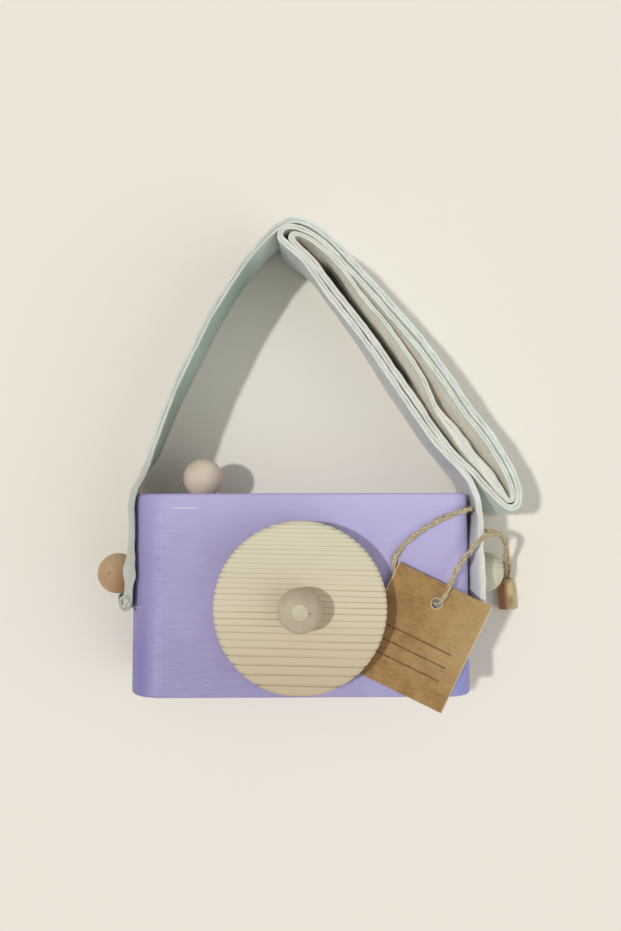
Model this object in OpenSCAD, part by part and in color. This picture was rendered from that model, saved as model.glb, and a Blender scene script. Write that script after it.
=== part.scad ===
// Toy camera: a painted wooden block with a turning wooden lens, ball knobs, a folded
// cotton strap and a card tag on twine. It lies on its back.
// Millimetres. +X to the right, +Y to the toy's top, +Z out of the lens.
// The origin is the middle of the block's back face.

/* [Body] */
// width of the block, left to right
body_w = 122; // [90:1:160]
// height of the block, bottom to top
body_h = 71.5; // [56:0.5:100]
// thickness of the block, back to front
body_t = 41; // [36:0.5:60]
// rounding of the two upright edges on the left
left_edge_r = 13; // [6:0.5:17]
// rounding of the two upright edges on the right
right_edge_r = 9.5; // [6:0.5:17]
// sanded easing along the top and bottom edges
ease_r = 1.2; // [0.6:0.1:2.5]

/* [Lens] */
// diameter of the pine disc
lens_d = 59; // [44:0.5:64]
// thickness of the pine disc
lens_t = 10; // [7:0.5:16]
// rounding of the disc's rims
lens_rim_r = 1.6; // [0.6:0.1:3]
// distance of the lens axis below the middle of the block
lens_drop = 3.5; // [0:0.5:6]
// diameter of the spacer behind the disc
washer_d = 18; // [12:0.5:24]
// thickness of the spacer behind the disc
washer_t = 2; // [1.8:0.1:4]
// free play behind and in front of the disc
lens_play = 0.3; // [0.2:0.05:0.6]
// radial clearance of the disc on its dowel
lens_fit = 0.08; // [0.04:0.01:0.1]
// depth of the lens dowel in the block
lens_seat = 25; // [15:1:32]

/* [Ball knobs] */
// diameter of each wooden ball
ball_d = 15; // [12:0.5:20]
// distance from a ball's centre to its flat
ball_flat = 6.5; // [5:0.1:7]
// diameter of each dowel
dowel_d = 5.2; // [4:0.1:6]
// depth of a short dowel in its ball
ball_seat = 9; // [6:0.5:10]
// depth of a short dowel in the block
block_seat = 15; // [10:1:20]
// distance of the shutter ball from the block's left side
shutter_in = 24; // [18:1:50]
// height of the side balls above the middle of the block
side_y = 6.5; // [0:0.5:10]

/* [Strap] */
// width of the cotton strap
strap_w = 36; // [30:0.5:38]
// thickness of the cotton strap
strap_t = 1.9; // [1.2:0.1:2]
// thickness of the raw strap end under the left ball
left_pinch_t = 1.2; // [0.8:0.1:1.9]

/* [Tag] */
// width of the card
tag_w = 36; // [30:0.5:40]
// length of the card
tag_l = 41; // [34:0.5:44]
// thickness of the card
tag_t = 0.5; // [0.3:0.1:0.6]
// diameter of the hole in the card
tag_hole_d = 3.4; // [3:0.1:4.5]
// distance of the hole from the card's top edge
tag_hole_in = 7.4; // [5:0.1:10]
// diameter of the twine
twine_d = 1.6; // [1:0.1:1.7]
// size of the lock across its corners
lock_d = 7; // [6.6:0.1:9]
// length of the lock
lock_l = 12; // [10:0.5:14]
// diameter of the pin in the lock
pin_d = 3; // [2:0.1:3.6]

/* [Hidden] */
$fn = 64;
mid_z = body_t / 2;
side_x = body_w / 2;
top_y = body_h / 2;
lens_y = -lens_drop;
lens_back_z = body_t + washer_t + lens_play;
lens_front_z = lens_back_z + lens_t;
lens_ball_z = lens_front_z + lens_play + ball_flat;
dowel_flush = sqrt(pow(ball_d / 2, 2) - pow(dowel_d / 2, 2));
left_ball_x = -side_x - left_pinch_t - ball_flat;
right_ball_x = side_x + strap_t + ball_flat;
shutter_x = -side_x + shutter_in;
shutter_ball_y = top_y + ball_flat;
strap_z = mid_z - strap_w / 2;
tag_turn = -26;
tag_tilt = 2.9;
tag_gap = 0.25;
tag_pos = [side_x - 13.4, -3, body_t + twine_d + tag_gap];
lock_turn = 2;
lock_pos = [side_x + 21.4, 2.8, lock_d * cos(30) / 2];
lock_mouth_d = 3.8;
lock_end_d = lock_d - 1.5;
lock_taper = 4.5;
lock_mouth_in = 5.5;
pin_l = 4.5;
cut = 0.5;

// strap centre line from the left end, seen from the front, and the loop as it was laid
// round a block of this half width and half height
laid_side = 61;
laid_top = 35.75;
laid_apex = 137.3;
wider = side_x - laid_side;
taller = top_y - laid_top;
left_x = -side_x - left_pinch_t / 2;
wall_x = side_x + strap_t / 2;
left_end = [[left_x, -6.5], [left_x, 0], [left_x, 14], [-wall_x, 21], [-wall_x, top_y - 6],
  [-wall_x - 0.1, top_y + 0.4], [-side_x + 0.7, top_y + 5.5]];
left_leg = [[-55.5, 53], [-49.3, 67], [-43, 81], [-36.2, 96], [-30.5, 107], [-22, 120],
  [-13.9, 129.6], [-8.2, 135], [-3, 137.3]];
pass_5 = [[2.2, 136.2], [7.3, 133.5], [12.5, 129.2], [18.9, 122], [30.8, 108.7], [42, 95.4],
  [54, 79.3], [62.4, 66.4], [68.7, 58], [74, 49.6], [77.3, 43.4], [79, 37.4], [79.2, 33.8],
  [78.3, 31.5], [76.4, 30.6]];
pass_2 = [[74.2, 31.2], [71.4, 33.6], [68.1, 37.1], [62.7, 43.3], [56.2, 49.6], [50, 57.9],
  [44.4, 66.2], [35.8, 78.9], [24.6, 95.3], [14.5, 108.5], [4.7, 121.8], [0.2, 126.2],
  [-2.3, 128.8], [-3.1, 130.2], [-2.4, 131.3]];
pass_3 = [[-0.7, 131.4], [2.2, 130.3], [5.6, 128.2], [12.6, 121.6], [22.8, 108.5], [33.5, 95.2],
  [44.4, 78.9], [50, 66.2], [56.2, 57.9], [61.9, 50], [68.2, 43.3], [72.4, 38.3], [74.2, 36.2],
  [75.5, 35.4], [76.6, 36.2]];
pass_4 = [[76.7, 37.8], [74.5, 43.2], [71.2, 49.2], [65.8, 57.6], [59.6, 65.8], [51, 78.6],
  [39, 94.6], [27.4, 108.4], [15.8, 121.4], [9, 128.7], [4.9, 131.8], [1.2, 133.5],
  [-2.2, 134.1], [-4.8, 133.7], [-6.3, 132.4]];
pass_1 = [[-6.6, 130.6], [-4.7, 128.1], [1.5, 121.8], [11.2, 108.5], [21.3, 95.3], [32.7, 78.9],
  [40.8, 66.3], [46.8, 57.9], [53.3, 49.7], [58.4, 44]];
right_leg = [[side_x + 1.4, top_y + 3], [side_x + 3.2, top_y - 2.5], [side_x + 3.4, top_y - 8.5],
  [side_x + 2.4, top_y - 15.5], [wall_x, 13.5], [wall_x, -8]];
strap_route = concat(left_end, spread(left_leg), moved(concat(pass_5, pass_2, pass_3, pass_4, pass_1)),
  right_leg);
pinched = 3;

// twine centre line from the lock, up the arch, round the strap, over the block, up through
// the tag's hole and over the strap, and down the arch again into the lock
twine_r = twine_d / 2;
low_z = twine_r + 0.1;
face_z = body_t + twine_r + 0.1;
hole = tag_pos + [0, 0, tag_t / 2];
from_lock = [lock_pos + [1, -4.3, 0], lock_pos + [0.9, 0.4, 0], lock_pos + [0.9, 2.6, 1.3]];
up_arch = [[82.2, 7.9, 9], [80.6, 10.7, 13], [79.2, 13.9, 17.7], [77.8, 16.8, 21.9], [76.5, 18.6, 25.1],
  [74.5, 19.9, 28.4], [71.9, 21.2, 31.6]];
round_strap = [[69.6, 21.9, 33.2], [67.8, 22.2, 32.8], [66.6, 22.3, 30.6], [66.3, 22.2, 27],
  [66.3, 22, 8], [65.9, 22.8, 2.4], [64.3, 26, low_z], [62.5, 28.8, 2], [62.2, 30.2, 7.5],
  [62.2, 30.4, 29.5]];
over_block = [[61.8, 30.2, body_t - 5], [59.8, 29.6, body_t - 0.8], [55.8, 28.7, body_t + 1],
  [49.7, 26.1, face_z], [41.5, 21.4, face_z], [36, 16.6, face_z], [33.2, 12, face_z],
  [33.5, 7.4, face_z], [37.4, 2.8, face_z]];
through_tag = [hole + [-3.4, 1, -1.2], hole + [-1.1, 0.25, -1.1], hole + [0.25, 0.05, 0.45],
  hole + [1, 0.6, 1.8], hole + [2.3, 2.3, 2.5], hole + [3.6, 4.6, 2.8]];
over_strap = [[53.8, 7.7, body_t + 4.5], [57.3, 12.7, body_t + 3.6], [61.2, 16.9, body_t + 1.9],
  [65.6, 20.2, body_t - 0.1], [68.2, 21, body_t - 2.2], [70.6, 20.9, 36.3], [73.1, 20.3, 33.2]];
down_arch = [[75.7, 18.8, 29.3], [77, 17.2, 26], [77.6, 15.3, 22.8], [78.4, 12.5, 18.4],
  [79.5, 9.4, 13.4], [80.8, 6.7, 9.2]];
to_lock = [lock_pos + [-0.8, 2.2, 2.3], lock_pos + [-0.9, 0.2, 0.2], lock_pos + [-0.7, -4.4, 0]];
twine_route = concat(from_lock, aside(concat(up_arch, round_strap, over_block)), through_tag,
  aside(concat(over_strap, down_arch)), to_lock);
twine_sides = 8;

function unit(v) = v / norm(v);
function moved(p) = [for (q = p) q + [wider, taller]];
function spread(p) = [for (q = p) q + [wider * (2 * (q[1] - laid_top) / (laid_apex - laid_top) - 1), taller]];
function aside(p) = [for (q = p) q + [wider, 0, 0]];
function heading(p, i) = unit(p[min(i + 1, len(p) - 1)] - p[max(i - 1, 0)]);
function half_t(i) = (i < pinched ? left_pinch_t : strap_t) / 2;
function shifted(p, i, s) = p[i] + s * half_t(i) * [-heading(p, i)[1], heading(p, i)[0]];
function side_of(r, t) = unit(r - (r * t) * t);
function sides_along(p) = [for (i = 0, r = side_of([1, 0, 0], heading(p, 0)); i < len(p);
  i = i + 1, r = i < len(p) ? side_of(r, heading(p, i)) : r) r];
function ring(c, t, a, r, n) = [for (k = [0 : n - 1])
  c + r * (cos(360 * k / n) * a + sin(360 * k / n) * cross(t, a))];

module eased_half(reach, tall, r) {
  translate([0, -tall / 2]) square([reach - r, tall]);
  translate([0, -tall / 2 + r]) square([reach, tall - 2 * r]);
  for (s = [-1, 1]) translate([reach - r, s * (tall / 2 - r)]) circle(r);
}

module edge_column(x, r) {
  for (z = [r, body_t - r]) translate([x, 0, z])
    rotate([90, 0, 0]) rotate_extrude() eased_half(r, body_h, ease_r);
}

module block_shape() {
  left_x0 = -side_x + left_edge_r;
  right_x0 = side_x - right_edge_r;
  translate([left_x0, 0, mid_z]) rotate([90, 0, 90]) linear_extrude(right_x0 - left_x0)
    for (s = [0, 180]) rotate(s) rotate(90) eased_half(mid_z, body_h, ease_r);
  translate([left_x0, 0, left_edge_r]) linear_extrude(body_t - 2 * left_edge_r)
    rotate(180) eased_half(left_edge_r, body_h, ease_r);
  translate([right_x0, 0, right_edge_r]) linear_extrude(body_t - 2 * right_edge_r)
    eased_half(right_edge_r, body_h, ease_r);
  edge_column(left_x0, left_edge_r);
  edge_column(right_x0, right_edge_r);
}

module body_block() {
  color([0.68, 0.64, 0.8]) difference() {
    block_shape();
    translate([0, lens_y, body_t - lens_seat]) cylinder(h = lens_seat + cut, d = dowel_d);
    translate([shutter_x, top_y - block_seat, mid_z]) rotate([-90, 0, 0])
      cylinder(h = block_seat + cut, d = dowel_d);
    translate([-side_x - cut, side_y, mid_z]) rotate([0, 90, 0])
      cylinder(h = block_seat + cut, d = dowel_d);
    translate([side_x - block_seat, side_y, mid_z]) rotate([0, 90, 0])
      cylinder(h = block_seat + cut, d = dowel_d);
  }
}

module lens_dowel() {
  color([0.8, 0.74, 0.62]) translate([0, lens_y, body_t - lens_seat])
    cylinder(h = lens_seat + lens_ball_z + dowel_flush - body_t, d = dowel_d);
}

module lens_washer() {
  color([0.72, 0.62, 0.46]) translate([0, lens_y, body_t]) difference() {
    cylinder(h = washer_t, d = washer_d);
    translate([0, 0, -cut]) cylinder(h = washer_t + 2 * cut, d = dowel_d);
  }
}

module lens_disc() {
  color([0.86, 0.78, 0.62]) translate([0, lens_y, lens_back_z + lens_t / 2]) difference() {
    rotate_extrude($fn = 128) eased_half(lens_d / 2, lens_t, lens_rim_r);
    cylinder(h = lens_t + 2 * cut, d = dowel_d + 2 * lens_fit, center = true);
  }
}

// a ball with its flat at the bottom, drilled from the flat
module ball(bore) {
  difference() {
    sphere(d = ball_d);
    translate([0, 0, -ball_flat - ball_d / 2]) cube(ball_d, center = true);
    translate([0, 0, -ball_flat - cut]) cylinder(h = bore + cut, d = dowel_d);
  }
}

module lens_ball() {
  color([0.8, 0.74, 0.62]) translate([0, lens_y, lens_ball_z]) ball(2 * ball_d);
}

module shutter_ball() {
  color([0.82, 0.74, 0.62]) translate([shutter_x, shutter_ball_y, mid_z])
    rotate([-90, 0, 0]) ball(ball_seat);
}

module left_ball() {
  color([0.74, 0.62, 0.48]) translate([left_ball_x, side_y, mid_z]) rotate([0, -90, 0]) ball(ball_seat);
}

module right_ball() {
  color([0.84, 0.8, 0.7]) translate([right_ball_x, side_y, mid_z]) rotate([0, 90, 0]) ball(ball_seat);
}

module shutter_dowel() {
  color([0.8, 0.72, 0.58]) translate([shutter_x, top_y - block_seat, mid_z]) rotate([-90, 0, 0])
    cylinder(h = block_seat + ball_seat, d = dowel_d);
}

module left_dowel() {
  color([0.8, 0.72, 0.58]) translate([left_ball_x + ball_flat - ball_seat, side_y, mid_z])
    rotate([0, 90, 0]) cylinder(h = ball_seat + left_pinch_t + block_seat, d = dowel_d);
}

module right_dowel() {
  color([0.8, 0.72, 0.58]) translate([side_x - block_seat, side_y, mid_z])
    rotate([0, 90, 0]) cylinder(h = block_seat + strap_t + ball_seat, d = dowel_d);
}

module strap() {
  last = len(strap_route) - 1;
  outer = [for (i = [0 : last]) shifted(strap_route, i, 1)];
  inner = [for (i = [last : -1 : 0]) shifted(strap_route, i, -1)];
  color([0.84, 0.86, 0.8]) difference() {
    translate([0, 0, strap_z]) linear_extrude(strap_w) polygon(concat(outer, inner));
    translate([-side_x - 5, side_y, mid_z]) rotate([0, 90, 0]) cylinder(h = 10, d = dowel_d);
    translate([side_x - 5, side_y, mid_z]) rotate([0, 90, 0]) cylinder(h = 10, d = dowel_d);
  }
}

module tag_card() {
  color([0.62, 0.48, 0.32]) translate(tag_pos) rotate([tag_tilt, 0, tag_turn]) difference() {
    translate([-tag_w / 2, tag_hole_in - tag_l, 0]) cube([tag_w, tag_l, tag_t]);
    translate([0, 0, -cut]) cylinder(h = tag_t + 2 * cut, d = tag_hole_d);
  }
}

module twine() {
  n = twine_sides;
  last = len(twine_route) - 1;
  across = sides_along(twine_route);
  pts = [for (i = [0 : last]) each ring(twine_route[i], heading(twine_route, i), across[i], twine_r, n)];
  walls = [for (i = [0 : last - 1], k = [0 : n - 1])
    each [[i * n + k, (i + 1) * n + k, (i + 1) * n + (k + 1) % n],
      [i * n + k, (i + 1) * n + (k + 1) % n, i * n + (k + 1) % n]]];
  ends = [[for (k = [0 : n - 1]) k], [for (k = [n - 1 : -1 : 0]) last * n + k]];
  color([0.7, 0.6, 0.42]) polyhedron(points = pts, faces = concat(walls, ends));
}

module lock_barrel() {
  color([0.66, 0.54, 0.38]) translate(lock_pos) rotate([90, 0, lock_turn]) difference() {
    union() {
      cylinder(h = lock_taper, d1 = lock_end_d, d2 = lock_d, $fn = 6);
      translate([0, 0, lock_taper]) cylinder(h = lock_l - lock_taper, d = lock_d, $fn = 6);
    }
    translate([0, 0, -cut]) cylinder(h = lock_mouth_in + cut, d = lock_mouth_d);
    translate([0, 0, lock_mouth_in - cut]) cylinder(h = pin_l + cut, d = pin_d);
  }
}

module lock_pin() {
  color([0.6, 0.5, 0.36]) translate(lock_pos) rotate([90, 0, lock_turn])
    translate([0, 0, lock_mouth_in]) cylinder(h = pin_l, d = pin_d);
}

body_block();
lens_dowel();
lens_washer();
lens_disc();
lens_ball();
shutter_dowel();
shutter_ball();
left_dowel();
left_ball();
right_dowel();
right_ball();
strap();
tag_card();
twine();
lock_barrel();
lock_pin();
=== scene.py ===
import math
import bpy
import numpy as np
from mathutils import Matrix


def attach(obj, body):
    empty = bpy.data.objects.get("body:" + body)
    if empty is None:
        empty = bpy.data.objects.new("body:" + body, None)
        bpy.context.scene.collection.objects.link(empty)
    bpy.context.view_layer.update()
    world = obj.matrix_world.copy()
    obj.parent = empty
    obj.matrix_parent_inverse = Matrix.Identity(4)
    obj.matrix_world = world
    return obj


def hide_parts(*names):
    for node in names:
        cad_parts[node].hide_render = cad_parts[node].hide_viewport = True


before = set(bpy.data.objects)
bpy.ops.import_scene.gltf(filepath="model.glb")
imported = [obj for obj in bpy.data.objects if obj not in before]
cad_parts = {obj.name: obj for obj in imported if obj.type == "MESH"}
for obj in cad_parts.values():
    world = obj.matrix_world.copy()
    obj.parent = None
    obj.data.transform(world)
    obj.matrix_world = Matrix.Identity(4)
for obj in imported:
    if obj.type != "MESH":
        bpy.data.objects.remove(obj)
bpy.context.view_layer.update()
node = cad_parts
MM = 0.001


# Camera, looking down on the toy that lies on its back
cam_data = bpy.data.cameras.new("camera")
cam_data.lens = 30.63
cam_data.sensor_width = 36.0
cam_data.clip_start = 0.01
camera = bpy.data.objects.new("camera", cam_data)
camera.location = (0.0009, 0.0248, 0.3223)
camera.rotation_euler = (0.0737, -0.0099, -0.0025)
bpy.context.scene.collection.objects.link(camera)
bpy.context.scene.camera = camera


# Shared tools for shapes, in millimetres until the mesh is made
SPLINE_STEPS = 24
ANY_SIDE = (0.3, 0.2, 1.0)
THREAD_TAPER, THREAD_END = 0.12, 0.35


def between(a, b, t0, t1, t):
    """The points at t on the way from a, at t0, to b, at t1."""
    return a + (b - a) * (t - t0) / (t1 - t0)


def smooth(points, step, columns):
    """A smooth line through the points, at even steps of its length over the first columns."""
    p = np.asarray(points, float)
    p = np.vstack([2 * p[0] - p[1], p, 2 * p[-1] - p[-2]])
    out = []
    for i in range(1, len(p) - 2):
        a, b, c, d = p[i - 1 : i + 3]
        knots = [0.0]
        for q, r in ((a, b), (b, c), (c, d)):
            knots.append(knots[-1] + np.linalg.norm((r - q)[:columns]) ** 0.5)
        k0, k1, k2, k3 = knots
        t = np.linspace(k1, k2, SPLINE_STEPS, endpoint=False)[:, None]
        ab = between(a, b, k0, k1, t)
        bc = between(b, c, k1, k2, t)
        cd = between(c, d, k2, k3, t)
        abc = between(ab, bc, k0, k2, t)
        bcd = between(bc, cd, k1, k3, t)
        out.append(between(abc, bcd, k1, k2, t))
    line = np.vstack(out + [p[-2:-1]])
    lengths = np.linalg.norm(np.diff(line[:, :columns], axis=0), axis=1)
    run = np.r_[0, np.cumsum(lengths)]
    at = np.linspace(0, run[-1], int(run[-1] / step) + 1)
    return np.stack([np.interp(at, run, column) for column in line.T], 1), at


def waves(run, seed, periods):
    """A repeatable ripple along a line, about one high."""
    phase = np.random.default_rng(seed).uniform(0, 2 * math.pi, len(periods))
    ripples = [np.sin(2 * math.pi * run / p + f) for p, f in zip(periods, phase)]
    return sum(ripples) / len(periods) ** 0.5


def eased(value, start, end):
    """A soft step from 0 at start to 1 at end."""
    t = np.clip((value - start) / (end - start), 0, 1)
    return t * t * (3 - 2 * t)


def frames_along(line):
    """Tangents and two turning-free side vectors along a line."""
    t = np.gradient(line, axis=0)
    t /= np.linalg.norm(t, axis=1)[:, None]
    a = np.cross(t[0], ANY_SIDE)
    sides = []
    for k in t:
        a = a - np.dot(a, k) * k
        a /= np.linalg.norm(a)
        sides.append(a.copy())
    sides = np.array(sides)
    return t, sides, np.cross(t, sides)


def ring_points(centre, a, b, radius, count):
    """Points on a circle in millimetres, given back in metres."""
    turns = [2 * math.pi * k / count for k in range(count)]
    return [MM * (centre + radius * (math.cos(w) * a + math.sin(w) * b)) for w in turns]


def tube_faces(rings, sides, start=0):
    """The quads of an open tube whose first point has the number start."""
    k = np.arange(sides)
    rows = []
    for i in range(rings - 1):
        a, b = start + i * sides, start + (i + 1) * sides
        rows.append(np.stack([a + k, a + (k + 1) % sides, b + (k + 1) % sides, b + k], 1))
    return [tuple(f) for f in np.vstack(rows)]


def closed_tube(rings, sides, start=0):
    """The same with both ends closed."""
    last = start + (rings - 1) * sides
    ends = [tuple(range(start + sides - 1, start - 1, -1)), tuple(range(last, last + sides))]
    return tube_faces(rings, sides, start) + ends


def strand(verts, faces, line, radius, count):
    """Adds one thin thread, tapered at both ends, to the mesh lists."""
    _, a, b = frames_along(line)
    start, last = len(verts), len(line) - 1
    for i, c in enumerate(line):
        bulge = math.sin(math.pi * min(max(i / last, THREAD_TAPER), 1 - THREAD_TAPER))
        verts += ring_points(c, a[i], b[i], radius * (THREAD_END + (1 - THREAD_END) * bulge), count)
    faces += closed_tube(len(line), count, start)


def make_mesh(name, verts, faces):
    """A smooth-shaded object from points in metres."""
    mesh = bpy.data.meshes.new(name)
    mesh.from_pydata([tuple(v) for v in verts], [], [tuple(int(k) for k in f) for f in faces])
    mesh.polygons.foreach_set("use_smooth", [True] * len(mesh.polygons))
    mesh.update()
    obj = bpy.data.objects.new(name, mesh)
    bpy.context.scene.collection.objects.link(obj)
    return obj


# Twine of two plies, from the lock round the strap, over the block, up through the tag and back
TWINE_D, TWINE_STEP = 1.6, 0.35
PLY_OUT, PLY_R, PLY_SIDES, LAY_MM = 0.42, 0.52, 10, 10.5
SQUEEZE, SQUEEZE_REACH = 0.2, 7
lock_mouth = np.array([82.4, 2.8, 3.03])
tag_hole = np.array([47.6, -3.0, 43.1])
face_z = 41.9
twine_route = [
    lock_mouth + (1, -4.3, 0), lock_mouth + (0.9, 0.4, 0), lock_mouth + (0.9, 2.6, 1.3),
    (82.2, 7.9, 9), (80.6, 10.7, 13), (79.2, 13.9, 17.7), (77.8, 16.8, 21.9), (76.5, 18.6, 25.1),
    (74.5, 19.9, 28.4), (71.9, 21.2, 31.6), (69.6, 21.9, 33.2), (67.8, 22.2, 32.8),
    (66.6, 22.3, 30.6), (66.3, 22.2, 27), (66.3, 22, 8), (65.9, 22.8, 2.4), (64.3, 26, 0.9),
    (62.5, 28.8, 2), (62.2, 30.2, 7.5), (62.2, 30.4, 29.5), (61.8, 30.2, 36), (59.8, 29.6, 40.2),
    (55.8, 28.7, 42), (49.7, 26.1, face_z), (41.5, 21.4, face_z), (36, 16.6, face_z),
    (33.2, 12, face_z), (33.5, 7.4, face_z), (37.4, 2.8, face_z),
    tag_hole + (-3.4, 1, -1.2), tag_hole + (-1.1, 0.25, -1.1), tag_hole + (0.25, 0.05, 0.45),
    tag_hole + (1, 0.6, 1.8), tag_hole + (2.3, 2.3, 2.5), tag_hole + (3.6, 4.6, 2.8),
    (53.8, 7.7, 45.5), (57.3, 12.7, 44.6), (61.2, 16.9, 42.9), (65.6, 20.2, 40.9), (68.2, 21, 38.8),
    (70.6, 20.9, 36.3), (73.1, 20.3, 33.2), (75.7, 18.8, 29.3), (77, 17.2, 26), (77.6, 15.3, 22.8),
    (78.4, 12.5, 18.4), (79.5, 9.4, 13.4), (80.8, 6.7, 9.2),
    lock_mouth + (-0.8, 2.2, 2.3), lock_mouth + (-0.9, 0.2, 0.2), lock_mouth + (-0.7, -4.4, 0),
]
twine_line, twine_run = smooth(twine_route, TWINE_STEP, 3)
tangent, side_a, side_b = frames_along(twine_line)
# squeezed where it goes through the tag
from_hole = np.linalg.norm(twine_line - tag_hole, axis=1)
squeeze = 1 - SQUEEZE * np.exp(-((from_hole / SQUEEZE_REACH) ** 2))
verts, faces = [], []
for ply in range(2):
    turn = 2 * math.pi * twine_run / LAY_MM + ply * math.pi
    swell = 1 + 0.1 * np.sin(twine_run * 0.61 + ply) + 0.06 * np.sin(twine_run * 1.7 + 2 * ply)
    out = (PLY_OUT * squeeze)[:, None]
    centre = twine_line + out * (np.cos(turn)[:, None] * side_a + np.sin(turn)[:, None] * side_b)
    _, ply_a, ply_b = frames_along(centre)
    start = len(verts)
    for c, a, b, r in zip(centre, ply_a, ply_b, PLY_R * swell * squeeze):
        verts += ring_points(c, a, b, r, PLY_SIDES)
    faces += closed_tube(len(centre), PLY_SIDES, start)
twine = make_mesh("twine_plies", verts, faces)
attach(twine, "base")
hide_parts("twine")

# Loose fibres on the twine, none below the floor
FIBRES, FIBRE_FREE_ENDS, FIBRE_ROOT, FIBRE_SIDES = 300, 14, 0.7, 4
rng = np.random.default_rng(7)
verts, faces = [], []
for _ in range(FIBRES):
    i = rng.integers(FIBRE_FREE_ENDS, len(twine_line) - FIBRE_FREE_ENDS)
    turn, reach, length = rng.uniform(0, 2 * math.pi), rng.uniform(0.3, 1.1), rng.uniform(1.2, 3.2)
    out = math.cos(turn) * side_a[i] + math.sin(turn) * side_b[i]
    t = np.linspace(0, 1, 6)[:, None]
    away = out * (FIBRE_ROOT + reach * t**1.5)
    hair = twine_line[i] + away + tangent[i] * rng.choice([-1, 1]) * length * t
    if hair[:, 2].min() > 0.1:
        strand(verts, faces, hair, rng.uniform(0.04, 0.065), FIBRE_SIDES)
twine_fibres = make_mesh("twine_fibres", verts, faces)
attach(twine_fibres, "base")


# Strap: front edge, middle and back edge of the canvas at each route point
STRAP_W, STRAP_STEP, FACE_STEPS = 36.0, 0.5, 20
LEG_MIDDLE = np.array([20.0, 70.0])
LOOP_FRONT, LOOP_BACK = 36.4, 0.5
CANVAS_T, LIP_T = 1.9, 2.35
FOLD_AWAY = np.array([0.8, 0.6])
# shift of the back edge in the lower fold and in the upper one
LOW_BACK, TOP_BACK = np.array([1.8, -2.2]), np.array([-0.3, 2.5])


def leg_rows(points):
    """The leg leans out, away from the middle of the loop, by the third value."""
    rows = []
    for x, y, lean in points:
        f = np.array([x, y])
        out = f - LEG_MIDDLE
        b = f + lean * out / np.linalg.norm(out)
        rows.append([*f, *((f + b) / 2), *b, LOOP_FRONT, LOOP_BACK, CANVAS_T, LIP_T, 1.0])
    return rows


def pass_rows(points, flare=0.0, lip=LIP_T, low_lip=LIP_T):
    """Folded passes lie tight at the back and fan out at the front.

    Third value: how far the back edge leans. Fourth value: how far the middle bellies towards the
    loop, so that the front part can flare. The front lip changes its thickness low down.
    """
    rows = []
    for x, y, lean, belly in points:
        f = np.array([x, y])
        b = f + lean * FOLD_AWAY + eased(y, 40, 32) * LOW_BACK
        b += eased(y, 124, 132) * TOP_BACK
        m = (f + b) / 2 - belly * FOLD_AWAY
        lip_at = lip + (low_lip - lip) * eased(y, 72, 56) * eased(y, 33, 40)
        widen = 1 + flare * min(belly / 2, 1)
        rows.append([*f, *m, *b, LOOP_FRONT, LOOP_BACK, CANVAS_T, lip_at, widen])
    return rows


# columns: front, middle and back x y, front and back z, thickness in the middle and in front, flare
raw_end = [
    [-64.6, 0.5, -64.9, 0.4, -64.8, 0.4, 37.0, 4.0, 0.5, 0.5, 1.0],
    [-64.5, -1.5, -65.0, -1.6, -64.9, -1.6, 37.4, 3.6, 0.7, 0.6, 1.0],
    [-63.9, -3.4, -64.4, -3.6, -64.3, -3.6, 37.8, 3.2, 0.9, 0.9, 1.0],
    [-62.9, -4.8, -63.3, -5.0, -63.2, -5.0, 38.0, 3.0, 1.0, 1.4, 1.0],
]
left_end = [
    [-61.7, -5.1, -62.3, -5.1, -62.2, -5.1, 38.2, 2.8, 1.1, 2.2, 1.2],
    [-61.1, -3.8, -61.8, -3.6, -61.8, -3.6, 38.4, 2.7, 1.2, 2.9, 1.6],
    [-61.2, -1.4, -61.7, -1.4, -61.7, -1.4, 38.6, 2.6, 1.2, 3.3, 1.8],
    [-61.0, 1.2, -61.6, 1.2, -61.7, 1.2, 38.7, 2.5, 1.2, 2.9, 2.0],
    [-60.95, 3.4, -61.6, 3.4, -61.7, 3.4, 38.7, 2.5, 1.2, 3.1, 2.0],
    [-60.75, 6.3, -61.6, 6.5, -61.8, 6.5, 38.7, 2.5, 1.2, 4.1, 2.2],
    [-60.6, 9.3, -61.6, 9.3, -61.8, 9.3, 38.7, 2.5, 1.3, 4.3, 2.2],
    [-60.4, 12.6, -61.6, 12.6, -61.9, 12.6, 38.6, 2.5, 1.5, 3.6, 2.0],
    [-60.2, 16.0, -61.8, 16.0, -62.0, 16.0, 38.5, 2.5, 1.7, 2.5, 1.7],
    [-60.1, 23.0, -61.9, 23.0, -62.2, 23.0, 38.4, 2.5, 1.9, 2.2, 1.4],
    [-60.2, 31.0, -61.9, 31.0, -63.2, 31.0, 38.4, 2.4, 1.9, 2.1, 1.2],
    [-59.2, 36.8, -62.2, 37.0, -65.7, 37.3, 38.2, 2.2, 1.9, 2.3, 1.0],
    [-56.5, 42.4, -60.2, 42.9, -64.2, 43.4, 37.8, 1.6, 1.9, 2.2, 1.0],
]
left_leg = [
    (-52.9, 54.2, 5.3), (-48, 68.1, 4.0), (-42.1, 82.1, 3.2), (-34.9, 96.9, 3.1), (-29.7, 106.6, 3.4),
    (-21, 120.3, 4), (-13.8, 129, 4.2), (-8.2, 134.2, 4.2), (-3, 136.8, 4.2),
]
pass_5 = [
    (2.2, 136.3, 0, 0), (7.3, 133.3, 0, 0), (12.5, 129.0, 0, 0.3), (18.9, 122.0, -0.1, 0.9),
    (30.8, 108.7, -1.2, 2), (42.0, 95.4, -2.3, 2.2), (54.0, 79.3, -3.2, 2.2), (62.4, 66.4, -3.6, 2.2),
    (68.7, 58.0, -3.8, 2.2), (74.0, 49.6, -3.2, 1.8), (77.3, 43.4, -1.8, 1), (79.0, 37.4, 0, 0.3),
    (79.2, 33.8, 0.8, 0), (78.3, 31.5, 0.8, 0), (76.4, 30.6, 0.5, 0),
]
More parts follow.
